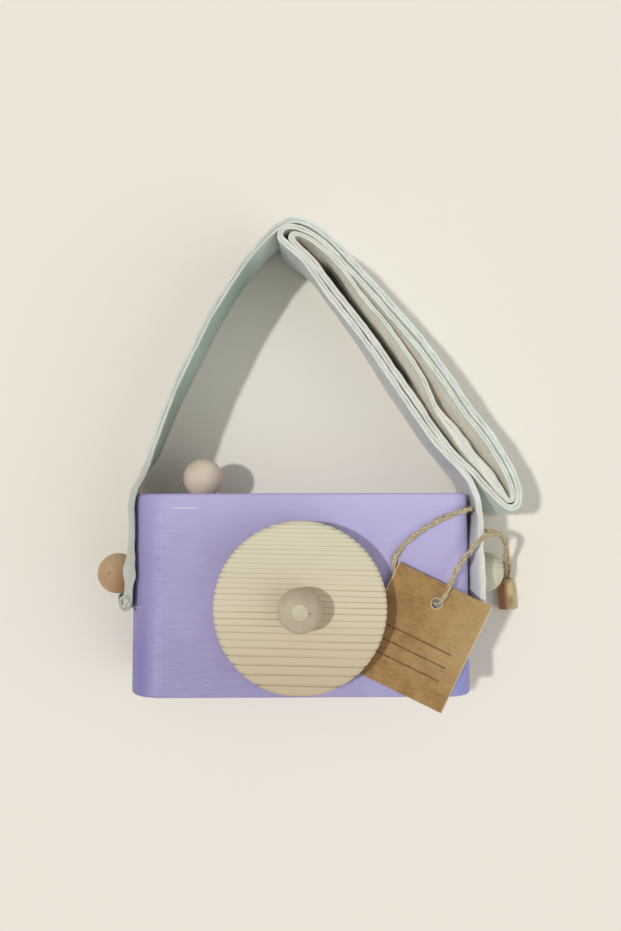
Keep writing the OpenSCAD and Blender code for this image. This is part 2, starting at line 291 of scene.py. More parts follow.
pass_2 = [
    (74.2, 31.2, 0.5, 0), (71.4, 33.6, 0.8, 0), (68.1, 37.1, 1.2, 0.2), (62.7, 43.3, 1.6, 0.4),
    (56.2, 49.6, 2.4, 0.7), (50.0, 57.9, 2.8, 1.1), (44.4, 66.2, 3.2, 1.1), (35.8, 78.9, 3.2, 1.2),
    (24.6, 95.3, 4.4, 1.3), (14.5, 108.5, 5.2, 1.3), (4.7, 121.8, 4.8, 0.6), (0.2, 126.2, 3.4, 0.2),
    (-2.3, 128.8, 2.0, 0), (-3.2, 130.3, 1.0, 0), (-2.4, 131.6, 0.4, 0),
]
pass_3 = [
    (-0.7, 131.8, 0, 0), (2.2, 130.8, 0.1, 0), (5.8, 128.6, 0.3, 0.3), (13.2, 121.6, 0.5, 0.9),
    (23.2, 108.5, 0.6, 2.4), (33.7, 95.2, -0.3, 2.8), (44.4, 78.9, -0.8, 2.4), (50.0, 66.2, 0.8, 1.8),
    (56.2, 57.9, 0.2, 1.6), (61.9, 50.0, 0.2, 1.4), (67.9, 43.1, 0.2, 0.8), (71.9, 37.4, 0.3, 0.3),
    (74.0, 34.7, 0.5, 0), (75.4, 33.2, 0.5, 0), (76.7, 33.6, 0.3, 0),
]
pass_4 = [
    (76.9, 36.2, -0.6, 0.3), (74.7, 42.8, -2.4, 1), (71.2, 49.2, -3.5, 1.8), (65.8, 57.6, -4.0, 2.2),
    (59.6, 65.8, -3.8, 2.2), (51.0, 78.6, -3.2, 2.2), (39.0, 94.6, -1.9, 2.2), (27.4, 108.4, -0.8, 2),
    (15.8, 121.4, 0.2, 0.9), (9.0, 128.5, 0.3, 0.3), (4.9, 131.6, 0.3, 0), (1.2, 133.6, 0.3, 0),
    (-2.4, 134.5, 0.3, 0), (-5.4, 134.2, 0.5, 0), (-7.0, 132.6, 1.0, 0),
]
pass_1 = [
    (-7.1, 130.5, 1.8, 0), (-4.8, 127.9, 3.2, 0.2), (1.5, 121.8, 5.0, 0.5), (11.2, 108.5, 5.5, 1),
    (21.3, 95.3, 4.5, 1), (32.7, 78.9, 3.3, 1), (40.8, 66.3, 3.4, 1), (46.8, 57.9, 3.0, 0.8),
    (53.3, 49.7, 2.8, 0.4),
]
right_end = [
    [58.4, 44.2, 59.2, 44.8, 60.0, 45.4, 38.0, 1.8, 1.9, 2.3, 1.0],
    [62.0, 38.6, 62.6, 39.1, 63.6, 39.6, 38.3, 2.3, 1.9, 2.2, 1.3],
    [63.6, 32.5, 63.8, 32.5, 64.8, 32.5, 38.5, 2.4, 1.9, 2.0, 1.8],
    [64.4, 25.5, 63.6, 25.5, 64.4, 25.5, 38.6, 2.5, 1.9, 1.9, 2.2],
    [64.8, 19.0, 62.6, 19.0, 63.0, 19.0, 38.6, 2.5, 1.9, 1.9, 2.4],
    [65.0, 12.0, 62.0, 12.0, 62.2, 12.0, 38.6, 2.5, 1.9, 1.9, 2.6],
    [65.0, 6.5, 61.95, 6.5, 62.0, 6.5, 38.6, 2.5, 1.9, 1.9, 2.6],
    [64.9, -1.0, 62.0, -1.0, 62.0, -1.0, 38.6, 2.5, 1.9, 1.9, 2.6],
    [64.6, -8.0, 62.3, -8.0, 62.2, -8.0, 38.6, 2.5, 1.9, 1.9, 2.4],
]
# canvas colour on the left and on the right of the way along each stretch, and on its lips. These colours
# carry painted light and shade: the curled inside of the raw end and the low part of the leg are
# darkened, the top of the leg and the lower fold are lightened, and the greenish and tan tints stand for
# cool light and for light bounced between the folds
leg = leg_rows(left_leg)
strap_parts = [
    (raw_end, (58, 56, 50), (184, 184, 176), (180, 180, 170)),
    (left_end, (186, 187, 178), (184, 184, 176), (188, 189, 180)),
    (leg[:2], (206, 212, 202), (142, 164, 144), (210, 217, 207)),
    (leg[2:6], (206, 212, 202), (160, 192, 178), (210, 217, 207)),
    (leg[6:], (206, 212, 202), (236, 255, 246), (210, 217, 207)),
    (pass_rows(pass_5, 0.8), (226, 250, 246), (240, 237, 226), (228, 236, 227)),
    (pass_rows(pass_2), (228, 250, 246), (236, 228, 210), (229, 231, 221)),
    (pass_rows(pass_3, 0.8, 1.7, 3.8), (240, 232, 216), (248, 243, 230), (230, 231, 218)),
    (pass_rows(pass_4, 0.8, 2.0, 2.0), (242, 236, 222), (222, 228, 218), (228, 233, 221)),
    (pass_rows(pass_1), (224, 227, 218), (218, 224, 222), (229, 231, 222)),
    (right_end, (222, 222, 216), (230, 227, 227), (231, 231, 226)),
]
# numbers of three stretches: start of the leg, third pass, first pass
LEG_PART, THIRD_PART, FIRST_PART = 2, 7, 9
strap_rows = np.array([row + [n] for n, part in enumerate(strap_parts) for row in part[0]])
strap_line, strap_run = smooth(strap_rows, STRAP_STEP, 2)
front, middle, back = strap_line[:, 0:2], strap_line[:, 2:4], strap_line[:, 4:6]
front_z, back_z, mid_t, front_t, flare, part_no = strap_line[:, 6:12].T

# one turned-in edge as two lips with a groove: side and height, in thicknesses
LIPS = [(0.5, -0.1), (0.485, 0.05), (0.43, 0.15), (0.33, 0.19), (0.19, 0.18), (0.08, 0.13), (0.03, 0.0)]
across = np.linspace(0.0, 1.0, FACE_STEPS)
lips = [(q, h, 1) for q, h in LIPS] + [(-q, h, 2) for q, h in LIPS[::-1]]
section = [(w, 0.5, 0.0, 0) for w in across[1:-1]] + [(1.0, *p) for p in lips]
section += [(w, -0.5, 0.0, 0) for w in across[-2:0:-1]] + [(0.0, -q, -h, k) for q, h, k in lips]

# how far each place along the way belongs to a soft end or to the third pass
part_at = np.clip(part_no, 0, len(strap_parts) - 1)
right_share = eased(part_at, FIRST_PART + 0.2, FIRST_PART + 0.8)
end_share = np.maximum(eased(part_at, LEG_PART + 0.2, LEG_PART - 0.8), right_share)
third_share = np.clip(1.5 - 2 * np.abs(part_at - THIRD_PART), 0, 1)
# low down, the third pass shows one smooth band in place of two lips
front_y = front[:, 1]
band_share = third_share * eased(front_y, 68, 54)
dome_share = np.maximum(end_share, 0.9 * band_share)
# higher up, painted shade darkens the slot in front of the third pass below its lip
slot_shade_share = third_share * eased(front_y, 74, 82) * eased(front_y, 127, 122)

# small unevenness of the cloth
LIP_WAVE, PUFF, DOME, LOWEST = 0.14, 0.12, 0.2, 0.02
soft = eased(flare, 1.0, 2.2) * end_share
sway = 0.1 * waves(strap_run, 1, (61, 37, 23)) + 0.035 * waves(strap_run, 2, (11, 7.3))
sway = sway * (1 + 2.2 * soft)
lip_rise = [
    0 * strap_run,
    LIP_WAVE * waves(strap_run, 3, (19, 9.3, 5.1)),
    LIP_WAVE * waves(strap_run, 4, (16, 8.1, 4.3)),
]
lip_open = 1 + 0.06 * waves(strap_run, 5, (29, 13, 7.3))
# painted shade in the groove between the two lips, varying along the strap and fainter on the smooth
# bands
groove = np.clip(0.45 + 0.6 * waves(strap_run, 8, (27, 15, 9)), 0.1, 1)
groove = groove * (1 - 0.9 * dome_share)

# colours go over from one stretch to the next
GROOVE_SHADE, SLOT_SHADE, SLOT_TOP, EDGE_W = 0.45, 0.88, 0.82, 0.07
tints = np.array([part[1:] for part in strap_parts], float)
part_low = np.floor(part_at + 1e-6).astype(int)
part_next = np.minimum(part_low + 1, len(strap_parts) - 1)
part_share = np.clip(part_at - part_low, 0, 1)[:, None, None]
side_tint = tints[part_low] * (1 - part_share) + tints[part_next] * part_share

rings, sides = len(strap_line), len(section)
verts = np.zeros((rings, sides, 3))
cloth_uv = np.zeros((rings, sides, 2))
colour = np.ones((rings, sides, 4))
for k, (w, q, h, lip) in enumerate(section):
    low, high = np.clip(2 * w, 0, 1), np.clip(2 * w - 1, 0, 1)
    centre = back + (middle - back) * low + (front - middle) * (high**flare)[:, None]
    thick = mid_t + (front_t - mid_t) * high**2
    along = np.gradient(centre, axis=0)
    along /= np.linalg.norm(along, axis=1)[:, None]
    normal = np.stack([-along[:, 1], along[:, 0]], 1)
    puff = PUFF * waves(strap_run + 31 * w, 6, (21, 12.5, 8)) * math.sin(math.pi * w)
    offset = q * thick * (lip_open if lip else 1) + sway * (0.4 + 0.6 * w) + puff
    verts[:, k, :2] = centre + normal * offset[:, None]
    dome = DOME * (1 - 4 * q * q) if lip and w > 0.5 else h
    rise = (h + (dome - h) * dome_share) * thick
    verts[:, k, 2] = back_z + (front_z - back_z) * w + rise + (lip_rise[lip] if w > 0.5 else 0)
    cloth_uv[:, k, 0] = strap_run
    cloth_uv[:, k, 1] = (w * STRAP_W + abs(q)) * (1 if q >= 0 else -1)
    face_tint = side_tint[:, 0] if q >= 0 else side_tint[:, 1]
    edge = 1.0 if lip else max(0.0, 1 - (1 - w) / EDGE_W)
    tint_and_light = face_tint * (1 - edge) + side_tint[:, 2] * edge
    # painted shade in the groove between the lips
    painted_shade = 1 - GROOVE_SHADE * groove[:, None] if abs(q) < 0.05 else 1.0
    # painted shade deep in the slot before the third pass
    if q < 0 and w < SLOT_TOP:
        painted_shade = 1 - SLOT_SHADE * slot_shade_share[:, None]
    colour[:, k, :3] = painted_shade * ((tint_and_light / 255.0 + 0.055) / 1.055) ** 2.4
verts[:, :, 2] = np.maximum(verts[:, :, 2], LOWEST)
canvas_faces = [f[::-1] for f in closed_tube(rings, sides)]
strap = make_mesh("strap_canvas", MM * verts.reshape(-1, 3), canvas_faces)
loop_verts = np.zeros(len(strap.data.loops), int)
strap.data.loops.foreach_get("vertex_index", loop_verts)
cloth_at = cloth_uv.reshape(-1, 2)[loop_verts] * MM
strap.data.uv_layers.new(name="cloth").data.foreach_set("uv", cloth_at.ravel())
tint_layer = strap.data.color_attributes.new("tint_and_light", "FLOAT_COLOR", "POINT")
tint_layer.data.foreach_set("color", colour.reshape(-1, 4).ravel())
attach(strap, "base")
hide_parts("strap")

# Frayed raw end, curled out under the left ball: loops, slanting threads, a few that stick out
FRAY_LOOPS, FRAY_THREADS, FRAY_SIDES = 34, 54, 5
FRAY_MIDDLE, FRAY_TIP = np.array([-63.4, -1.8]), np.array([-61.6, -6.2])
verts, faces = [], []
rng = np.random.default_rng(11)
for _ in range(FRAY_LOOPS):
    begin, sweep = rng.uniform(0, 2 * math.pi), rng.uniform(1.2, 3.6) * rng.choice([-1, 1])
    rx, ry = rng.uniform(0.7, 1.5), rng.uniform(1.6, 3.2)
    t = np.linspace(0, 1, 14)
    angle, wobble = begin + sweep * t, 1 + 0.12 * np.sin(9 * t + begin)
    loop_x = FRAY_MIDDLE[0] + rx * wobble * np.cos(angle)
    loop_y = FRAY_MIDDLE[1] + ry * wobble * np.sin(angle)
    line = np.stack([loop_x, loop_y, rng.uniform(6, 31) + rng.uniform(-2.5, 2.5) * t], 1)
    strand(verts, faces, line, rng.uniform(0.09, 0.15), FRAY_SIDES)
for _ in range(FRAY_THREADS):
    x0, y0, z0 = rng.uniform(-62.5, -60.0), rng.uniform(-3.6, 0.8), rng.uniform(39.2, 39.8)
    slant, length = rng.uniform(0.2, 0.9), rng.uniform(1.4, 3.4)
    t = np.linspace(0, 1, 8)
    bow = rng.uniform(-0.3, 0.3) * np.sin(math.pi * t)
    line = np.stack([x0 - slant * length * t + bow, y0 - length * t, z0 - 1.1 * np.abs(t - 0.4)], 1)
    lowest = FRAY_TIP[1] + 0.5 * np.abs(line[:, 0] - FRAY_TIP[0])
    line[:, 1] = np.maximum(line[:, 1], lowest)
    strand(verts, faces, line, rng.uniform(0.07, 0.12), FRAY_SIDES)
loose_threads = [
    [(-65.0, 0.1, 37.6), (-64.4, 0.1, 38.2), (-63.4, 0.35, 38.4), (-62.4, 0.5, 38.6)],
    [(-65.0, -1.1, 37.8), (-64.4, -1.7, 38.2), (-63.6, -2.0, 38.4), (-62.8, -1.5, 38.6)],
    [(-64.7, -2.2, 37.8), (-64.0, -3.0, 38.2), (-63.4, -2.6, 38.4), (-63.0, -1.8, 38.6)],
    [(-61.4, -4.8, 38.2), (-60.4, -4.9, 38.0), (-59.6, -4.6, 37.2), (-58.8, -4.1, 36.6)],
    [
        (-60.4, -5.0, 36.4), (-59.4, -4.8, 35.2), (-58.3, -4.6, 36.1), (-57.2, -4.7, 37.3),
        (-55.9, -4.1, 38.5),
    ],
]
for thread in loose_threads:
    strand(verts, faces, smooth(thread, 0.3, 3)[0], 0.13, FRAY_SIDES)
strap_fray = make_mesh("strap_fray", verts, faces)
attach(strap_fray, "base")


# Lens disc with the ring lines of the pine cut a little into its rim
DISC_R, DISC_T, DISC_RIM, DISC_BORE = 29.5, 10.0, 1.6, 2.68
DISC_AT = np.array([0.0, -3.5, 43.3])
DISC_STEPS = 1080
RING_TOP, RING_TILT, RING_SPAN, RING_CUT = 25.5, 0.025, 58.0, 0.34
RING_COUNT, RING_SPREAD, RING_START = 42.4, -14.0, 0.38


def late_wood(x, y):
    """How dark the growth ring is at a place on the disc, from 0 to 1."""
    down = (RING_TOP - y - RING_TILT * x) / RING_SPAN
    share = np.mod(down * (RING_COUNT + RING_SPREAD * down) + RING_START, 1.0)
    return np.interp(share, [0.0, 0.72, 0.88, 0.94, 0.98, 1.0], [0.0, 0.0, 0.6, 1.0, 0.7, 0.0])


# radius, height and the two parts of the outward direction, over the front to the back
profile = [(r, DISC_T, 0, 1) for r in np.linspace(DISC_BORE, DISC_R - DISC_RIM, 14)]
for a in np.linspace(0.15, math.pi / 2, 9):
    up, aside = math.cos(a), math.sin(a)
    profile.append((DISC_R - DISC_RIM * (1 - aside), DISC_T - DISC_RIM * (1 - up), aside, up))
profile += [(DISC_R, z, 1, 0) for z in np.linspace(DISC_T - DISC_RIM - 0.7, DISC_RIM, 9)]
for a in np.linspace(0.2, math.pi / 2, 7):
    up, aside = -math.sin(a), math.cos(a)
    profile.append((DISC_R - DISC_RIM * (1 - aside), DISC_RIM * (1 + up), aside, up))
profile += [(r, 0, 0, -1) for r in np.linspace(DISC_R - DISC_RIM - 1, DISC_BORE, 8)]
r, z, aside, up = np.array(profile).T[:, :, None]
theta = np.arange(DISC_STEPS) * 2 * math.pi / DISC_STEPS
sunk = RING_CUT * np.abs(aside) * late_wood(r * np.cos(theta), r * np.sin(theta) + DISC_AT[1])
inside = r - aside * sunk
disc_verts = np.stack([inside * np.cos(theta), inside * np.sin(theta), z - up * sunk], 2) + DISC_AT
first = np.arange(DISC_STEPS)
last = (len(profile) - 1) * DISC_STEPS + first
bore_faces = np.stack([last, np.roll(last, -1), np.roll(first, -1), first], 1)
disc_faces = [f[::-1] for f in tube_faces(len(profile), DISC_STEPS) + list(bore_faces)]
lens = make_mesh("lens_pine", MM * disc_verts.reshape(-1, 3), disc_faces)
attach(lens, "lens")
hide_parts("lens_disc")


# Shader tools
def srgb(r, g, b):
    """The colour that shows as these values, from 0 to 255."""
    def lin(v):
        v /= 255.0
        return v / 12.92 if v <= 0.04045 else ((v + 0.055) / 1.055) ** 2.4

    return (lin(r), lin(g), lin(b), 1.0)


def deeper(colour, share):
    """A share of the colour's light."""
    return [share * v for v in colour[:3]] + [1.0]


class Shader:
    """A material with one principled surface and short calls to add nodes to it."""

    def __init__(self, name, rough, specular, **sockets):
        self.mat = bpy.data.materials.new(name)
        self.mat.use_nodes = True
        self.tree = self.mat.node_tree
        self.surface = self.tree.nodes["Principled BSDF"]
        self.set(self.surface, Roughness=rough, **{"Specular IOR Level": specular}, **sockets)

    def link(self, value, socket):
        """Joins a socket to another one, or gives it a plain value."""
        if isinstance(value, bpy.types.NodeSocket):
            self.tree.links.new(value, socket)
        else:
            socket.default_value = value

    def set(self, n, **values):
        for key, value in values.items():
            self.link(value, n.inputs[key])

    def add(self, kind, settings=None, **values):
        n = self.tree.nodes.new("ShaderNode" + kind)
        for key, value in (settings or {}).items():
            setattr(n, key, value)
        self.set(n, **values)
        return n

    def math(self, op, a, b=0.0, c=0.0):
        n = self.add("Math", {"operation": op})
        for i, value in enumerate((a, b, c)):
            self.link(value, n.inputs[i])
        return n.outputs[0]

    def radius(self, a, b):
        """How far a place is from an axis, from its two distances."""
        squares = self.math("ADD", self.math("MULTIPLY", a, a), self.math("MULTIPLY", b, b))
        return self.math("POWER", squares, 0.5)

    def distance(self, place, point):
        """How far a place is from a point in millimetres."""
        n = self.add("VectorMath", {"operation": "DISTANCE"}, Vector=place)
        n.inputs[1].default_value = [v * MM for v in point]
        return n.outputs["Value"]

    def place(self):
        return self.add("TexCoord").outputs["Object"]

    def split(self, vector):
        return self.add("SeparateXYZ", Vector=vector).outputs

    def stretch(self, vector, scale):
        return self.add("Mapping", Vector=vector, Scale=scale).outputs[0]

    def noise(self, vector, scale, detail=3.0, rough=0.5):
        return self.add("TexNoise", Vector=vector, Scale=scale, Detail=detail, Roughness=rough).outputs[0]

    def ramp(self, value, *stops):
        n = self.add("ValToRGB", Fac=value)
        points = n.color_ramp.elements
        while len(points) < len(stops):
            points.new(0.5)
        for point, (at, colour) in zip(points, stops):
            point.position = at
            point.color = colour
        return n.outputs[0]

    def grey(self, value, *stops):
        return self.ramp(value, *[(at, (v, v, v, 1.0)) for at, v in stops])

    def span(self, value, start, end):
        """How far a length has come from start to end, both in millimetres."""
        return self.math("MULTIPLY_ADD", value, 1 / ((end - start) * MM), -start / (end - start))

    def fade(self, value, start, end, most=1.0):
        """From 0 at start to the most at end, both in millimetres."""
        return self.grey(self.span(value, start, end), (0.0, 0.0), (1.0, most))

    def mix(self, share, a, b):
        n = self.add("Mix", {"data_type": "RGBA"})
        for i, value in ((0, share), (6, a), (7, b)):
            self.link(value, n.inputs[i])
        return n.outputs[2]

    def colour(self, tone):
        self.set(self.surface, **{"Base Color": tone})

    def bump(self, height, strength, distance):
        n = self.add("Bump", Strength=strength, Distance=distance, Height=height)
        self.set(self.surface, Normal=n.outputs[0])

    def cover(self, *objects):
        for o in objects:
            o.data.materials.clear()
            o.data.materials.append(self.mat)


# Lilac paint, brushed along the block, with painted light: paler towards the top and the right
PAINTED_LIGHT_UP, PAINTED_LIGHT_RIGHT, CLOUD_SHARE = 9.0, 4.5, 0.8
paint = Shader("lilac_brushed_paint", 0.5, 0.28)
xyz = paint.place()
x, y, z = paint.split(xyz)
streak = paint.noise(paint.stretch(xyz, (110, 1050, 1050)), 1.0, 4.0, 0.6)
cloud = paint.noise(xyz, 28.0, 3.0)
share = paint.math("MULTIPLY_ADD", y, PAINTED_LIGHT_UP, paint.math("MULTIPLY_ADD", x, PAINTED_LIGHT_RIGHT, 0.06))
share = paint.math("MULTIPLY_ADD", cloud, CLOUD_SHARE, share)
tone = paint.ramp(share, (0.05, srgb(150, 141, 183)), (0.95, srgb(189, 181, 221)))
# painted shade: plainer and darker on the left rounding, with less of the painted shade beside the strap
below = paint.fade(x, -50.91, -55.455)
beside = paint.grey(paint.span(x, -47.0, -55.0), (0.0, 0.0), (0.4, 0.33), (1.0, 0.4))
left = paint.mix(paint.fade(y, -20.0, 0.0), below, beside)
plain = paint.math("SUBTRACT", 1.0, left)
tone = paint.mix(left, tone, srgb(132, 124, 176))
# painted shade: bluer and darker in the lower right corner of the front, where the tag's shadow falls,
# and darker on the right rounding
low = paint.math("MULTIPLY", paint.fade(y, -10.0, -25.0), paint.fade(x, 45.714, 57.143, 0.8))
low = paint.math("MULTIPLY", low, paint.fade(z, 30.0, 34.0))
tone = paint.mix(low, tone, srgb(117, 131, 197))
tone = paint.mix(paint.fade(x, 55.294, 61.176, 0.5), tone, srgb(150, 146, 195))
pale = paint.math("MULTIPLY", paint.grey(streak, (0.4, 0.0), (0.75, 0.18)), plain)
tone = paint.mix(pale, tone, srgb(196, 187, 222))
thin = paint.noise(paint.stretch(xyz, (110, 1700, 1700)), 1.0, 2.0)
pale = paint.math("MULTIPLY", paint.grey(thin, (0.62, 0.0), (0.74, 0.1)), plain)
tone = paint.mix(pale, tone, srgb(214, 207, 232))
# a painted highlight: a short pale glint along one brush stroke near the upper left corner
GLINT_X, GLINT_Y = -41.0, 30.6
off_x = paint.math("ABSOLUTE", paint.math("SUBTRACT", x, GLINT_X * MM))
off_y = paint.math("ABSOLUTE", paint.math("SUBTRACT", y, GLINT_Y * MM))
stroke_glint = paint.math("MULTIPLY", paint.fade(off_y, 0.5, 0.1, 0.45), paint.fade(off_x, 5.5, 3.0))
paint.colour(paint.mix(stroke_glint, tone, srgb(222, 217, 238)))
paint.set(paint.surface, Roughness=paint.grey(streak, (0.3, 0.56), (0.7, 0.42)))
paint.bump(paint.math("MULTIPLY", streak, plain), 0.14, 0.0003)
paint.cover(node["body_block"])


# Pine with straight growth rings, darker on the rim
RING_WANDER, RIM_FADE = 0.9, 1.4
pine = Shader("pine_disc", 0.62, 0.25)
xyz = pine.place()
x, y, _ = pine.split(xyz)
wander = pine.noise(pine.stretch(xyz, (25, 160, 25)), 1.0, 2.0)
level = pine.math("MULTIPLY_ADD", x, RING_TILT, y)
level = pine.math("MULTIPLY_ADD", pine.math("SUBTRACT", wander, 0.5), RING_WANDER * MM, level)
down = pine.span(level, RING_TOP, RING_TOP - RING_SPAN)
count = pine.math("MULTIPLY", down, pine.math("MULTIPLY_ADD", down, RING_SPREAD, RING_COUNT))
ring = pine.math("FRACT", pine.math("ADD", count, RING_START))
late = pine.grey(ring, (0.0, 0.0), (0.68, 0.0), (0.86, 0.4), (0.93, 1.0), (0.975, 0.85), (1.0, 0.0))
strength = pine.noise(pine.stretch(xyz, (12, 700, 12)), 1.0, 1.0)
late = pine.math("MULTIPLY", late, pine.grey(strength, (0.3, 0.35), (0.7, 1.0)))
# painted light: the early wood is paler at the top and darker towards the bottom
early_painted_light = pine.ramp(down, (0.0, srgb(213, 206, 182)), (0.5, srgb(211, 199, 173)), (1.0, srgb(190, 172, 143)))
dark = pine.ramp(down, (0.2, srgb(183, 169, 132)), (0.6, srgb(156, 136, 98)))
fibre = pine.noise(pine.stretch(xyz, (150, 4000, 900)), 1.0, 3.0)
early_painted_light = pine.mix(pine.grey(fibre, (0.35, 0.0), (0.75, 0.22)), early_painted_light, srgb(200, 186, 156))
from_axis = pine.radius(x, pine.math("SUBTRACT", y, DISC_AT[1] * MM))
rim = pine.fade(from_axis, DISC_R - DISC_RIM, DISC_R - DISC_RIM + RIM_FADE)
dark = pine.mix(rim, dark, srgb(112, 88, 56))
pine.colour(pine.mix(late, early_painted_light, dark))
pine.bump(pine.math("MULTIPLY_ADD", late, -0.6, pine.math("MULTIPLY", fibre, 0.4)), 0.2, 0.0002)
pine.cover(lens)


# Bare turned wood for balls, dowels and the spacer
GRAIN_ACROSS, GRAIN_ALONG, FLECK_FINER = 900.0, 60.0, 2.2
BALL_RING, BALL_TILT, BALL_BEND = 1.4, 0.12, 4.0


def turned_wood(name, light, dark, axis, *objects, lines=0.0):
    """Covers the objects and gives back the material, its place and its colour."""
    wood = Shader(name, 0.58, 0.3)
    xyz = wood.place()
    x, y, _ = wood.split(xyz)
    scale = [GRAIN_ACROSS] * 3
    scale[axis] = GRAIN_ALONG
    grain = wood.noise(wood.stretch(xyz, scale), 1.0, 4.0, 0.6)
    patch = wood.noise(xyz, 120.0, 2.0)
    flecks = wood.noise(wood.stretch(xyz, [FLECK_FINER * s for s in scale]), 1.0, 1.0)
    tone = wood.ramp(patch, (0.3, dark), (0.7, light))
    tone = wood.mix(wood.grey(grain, (0.4, 0.0), (0.75, 0.5)), tone, dark)
    tone = wood.mix(wood.grey(flecks, (0.68, 0.0), (0.78, 0.4)), tone, deeper(dark, 0.6))
    bend = wood.math("MULTIPLY_ADD", x, BALL_TILT, y)
    bend = wood.math("MULTIPLY_ADD", patch, BALL_BEND * MM, bend)
    ring = wood.math("FRACT", wood.math("MULTIPLY", bend, 1 / (BALL_RING * MM)))
    ring = wood.math("MULTIPLY", wood.grey(ring, (0.62, 0.0), (0.86, 1.0), (1.0, 0.0)), lines)
    ring = wood.math("MULTIPLY", ring, wood.grey(grain, (0.4, 1.0), (0.6, 0.2)))
    tone = wood.mix(ring, tone, deeper(dark, 0.5))
    wood.colour(tone)
    wood.bump(grain, 0.2, 0.0002)
    wood.cover(*objects)
    return wood, xyz, tone


# lens ball with the seam round its dowel, a faint stain, and a small hole shown only as a dark spot of
# painted shade
DOWEL_D, LENS_BALL_Z, PIN_HOLE = 5.2, 60.1, (2.9, -3.8, 66.6)
ball, xyz, tone = turned_wood(
    "birch_lens_ball", srgb(194, 182, 160), srgb(176, 163, 141), 2, node["lens_ball"],
)
x, y, z = ball.split(xyz)
reach = ball.radius(x, ball.math("SUBTRACT", y, DISC_AT[1] * MM))
reach = ball.math("MULTIPLY", reach, 1 / (DOWEL_D * MM))
seam = ball.grey(reach, (0.5, 0.0), (0.51, 0.45), (0.53, 0.45), (0.56, 0.0))
seam = ball.math("MULTIPLY", seam, ball.math("GREATER_THAN", z, LENS_BALL_Z * MM))
tone = ball.mix(seam, tone, srgb(146, 130, 106))
from_pin = ball.distance(xyz, PIN_HOLE)
tone = ball.mix(ball.fade(from_pin, 1.8, 0.5, 0.35), tone, srgb(182, 138, 138))
# the hole itself is only a dark spot: painted shade
ball.colour(ball.mix(ball.fade(from_pin, 0.62, 0.36, 0.8), tone, srgb(84, 58, 48)))

# left ball with painted shade, darker and redder on its lower right half, and a small knot
LEFT_BALL, KNOT = (-68.7, 6.5), (-70.4, 6.9, 27.8)
ball, xyz, tone = turned_wood(
    "birch_left_ball", srgb(192, 163, 126), srgb(172, 139, 104), 2, node["left_ball"],
)
x, y, _ = ball.split(xyz)
aside = ball.math("SUBTRACT", x, LEFT_BALL[0] * MM)
slant = ball.math("SUBTRACT", aside, ball.math("SUBTRACT", y, LEFT_BALL[1] * MM))
tone = ball.mix(ball.fade(slant, -3.333, 10.0, 0.7), tone, srgb(170, 124, 92))
knot = ball.fade(ball.distance(xyz, KNOT), 1.0, 0.3, 0.4)
ball.colour(ball.mix(knot, tone, srgb(110, 76, 52)))

turned_wood(
    "birch_shutter_ball", srgb(224, 209, 190), srgb(206, 190, 168), 0, node["shutter_ball"], lines=0.06,
)
turned_wood(
    "birch_right_ball", srgb(213, 210, 190), srgb(197, 192, 169), 1, node["right_ball"], lines=0.55,
)
turned_wood(
    "birch_dowel", srgb(204, 196, 168), srgb(186, 176, 146), 2, node["lens_dowel"],
    node["shutter_dowel"], node["left_dowel"], node["right_dowel"], node["lens_washer"],
)


# Cotton canvas and its loose threads
WEAVE_MM = 0.5
canvas = Shader("cotton_canvas", 0.92, 0.12, **{"Sheen Weight": 0.12})
cloth = canvas.add("UVMap", {"uv_map": "cloth"}).outputs[0]
u, v, _ = canvas.split(cloth)
warp = canvas.math("SINE", canvas.math("MULTIPLY", u, math.pi / (WEAVE_MM * MM)))
weft = canvas.math("SINE", canvas.math("MULTIPLY", v, math.pi / (WEAVE_MM * MM)))
weave = canvas.math("MULTIPLY", warp, weft)
slub = canvas.noise(canvas.stretch(cloth, (110, 1500, 1)), 1.0, 3.0)
cross = canvas.noise(canvas.stretch(cloth, (1500, 110, 1)), 1.0, 3.0)
threads = canvas.math("ADD", slub, canvas.math("MULTIPLY_ADD", cross, 0.4, 0.3))
crease = canvas.noise(canvas.stretch(cloth, (330, 60, 1)), 1.0, 3.0, 0.6)
speck = canvas.noise(canvas.stretch(cloth, (900, 1100, 1)), 1.0, 2.0)
soil = canvas.noise(cloth, 55.0, 3.0)
tone = canvas.add("Attribute", {"attribute_name": "tint_and_light"}).outputs["Color"]
tone = canvas.mix(canvas.grey(soil, (0.45, 0.0), (0.75, 0.18)), tone, srgb(206, 192, 164))
tone = canvas.mix(canvas.grey(threads, (0.95, 0.0), (1.0, 0.22)), tone, srgb(170, 170, 158))
tone = canvas.mix(canvas.grey(crease, (0.58, 0.0), (0.78, 0.14)), tone, srgb(164, 166, 156))
tone = canvas.mix(canvas.grey(speck, (0.42, 0.16), (0.6, 0.0)), tone, srgb(176, 177, 166))
canvas.colour(tone)
height = canvas.math("MULTIPLY_ADD", weave, 0.25, canvas.math("MULTIPLY_ADD", crease, 3.0, threads))
canvas.bump(height, 0.36, 0.0002)
canvas.cover(strap)
fluff = Shader("cotton_threads", 0.95, 0.1)
shade = fluff.noise(fluff.place(), 900.0, 2.0)
fluff.colour(fluff.ramp(shade, (0.3, srgb(176, 172, 158)), (0.6, srgb(232, 232, 222))))
fluff.bump(shade, 0.3, 0.0001)
fluff.cover(strap_fray)


